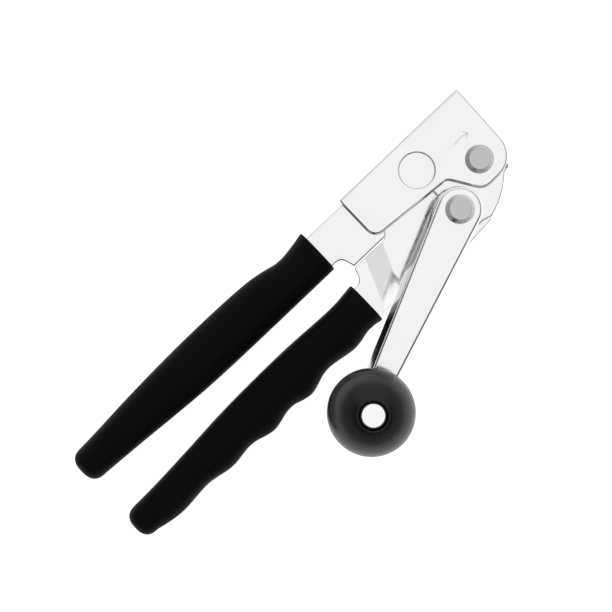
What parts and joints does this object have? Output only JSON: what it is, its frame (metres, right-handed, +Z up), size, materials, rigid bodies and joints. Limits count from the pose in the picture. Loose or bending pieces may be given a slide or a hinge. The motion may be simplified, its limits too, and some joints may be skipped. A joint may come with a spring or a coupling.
{
  "type": "manual can opener",
  "caption": "Manual can opener: crossed steel handles with black grips, a geared cutter and feed wheel, and a long crank with a ball knob.",
  "frame": {"origin": "centre of the underside of the whole object's bounding box, on the surface that it lies on", "axes": "+X along the handles from the grips to the head, +Y towards the upper handle, +Z up out of the crank side, parallel to the pivot and both shafts"},
  "size_m": [0.2162, 0.087, 0.0639],
  "materials": {
    "polished_steel": "polished plated sheet steel",
    "satin_steel": "satin turned steel",
    "hard_steel": "hardened and ground steel",
    "grip": "matte black soft moulded grip",
    "knob": "satin black moulded plastic"
  },
  "bodies": {
    "cutter_side": {"front_plate": "polished_steel", "lower_handle_bar": "polished_steel", "lower_grip": "grip", "cutter_axle": "satin_steel", "cutter_spacer": "hard_steel", "cutter_end_washer": "satin_steel"},
    "upper_handle": {"upper_handle_bar": "polished_steel", "upper_grip": "grip", "drive_bushing": "satin_steel"},
    "drive": {"drive_shaft": "satin_steel", "crank_spacer": "satin_steel", "drive_thrust_washer": "satin_steel", "drive_gear": "hard_steel", "feed_wheel": "hard_steel", "feed_lock_washer": "satin_steel", "feed_nut": "satin_steel", "crank_arm": "polished_steel", "knob_washer": "satin_steel", "knob_pin": "polished_steel"},
    "cutter": {"cutter_thrust_washer": "satin_steel", "cutter_gear": "hard_steel", "cutter_wheel": "hard_steel"},
    "knob": {"knob": "knob"}
  },
  "joints": [
    {"name": "handle_pivot", "type": "hinge", "parent": "cutter_side", "child": "upper_handle", "pos_m": [0.07355, 0.02816, 0.0129], "axis": [0, 0, -1], "range_deg": [0, 18]},
    {"name": "crank_spin", "type": "hinge", "parent": "upper_handle", "child": "drive", "pos_m": [0.07305, 0.00526, 0.0129], "axis": [0, 0, 1], "continuous": true},
    {"name": "cutter_spin", "type": "hinge", "parent": "cutter_side", "child": "cutter", "pos_m": [0.09485, 0.01406, 0.0129], "axis": [0, 0, 1], "continuous": true},
    {"name": "knob_spin", "type": "hinge", "parent": "drive", "child": "knob", "pos_m": [-0.00637, -0.02667, 0.047], "axis": [0, 0, 1], "continuous": true}
  ],
  "couplings": [
    {"joint": "cutter_spin", "follows": "crank_spin", "ratio": -1}
  ]
}
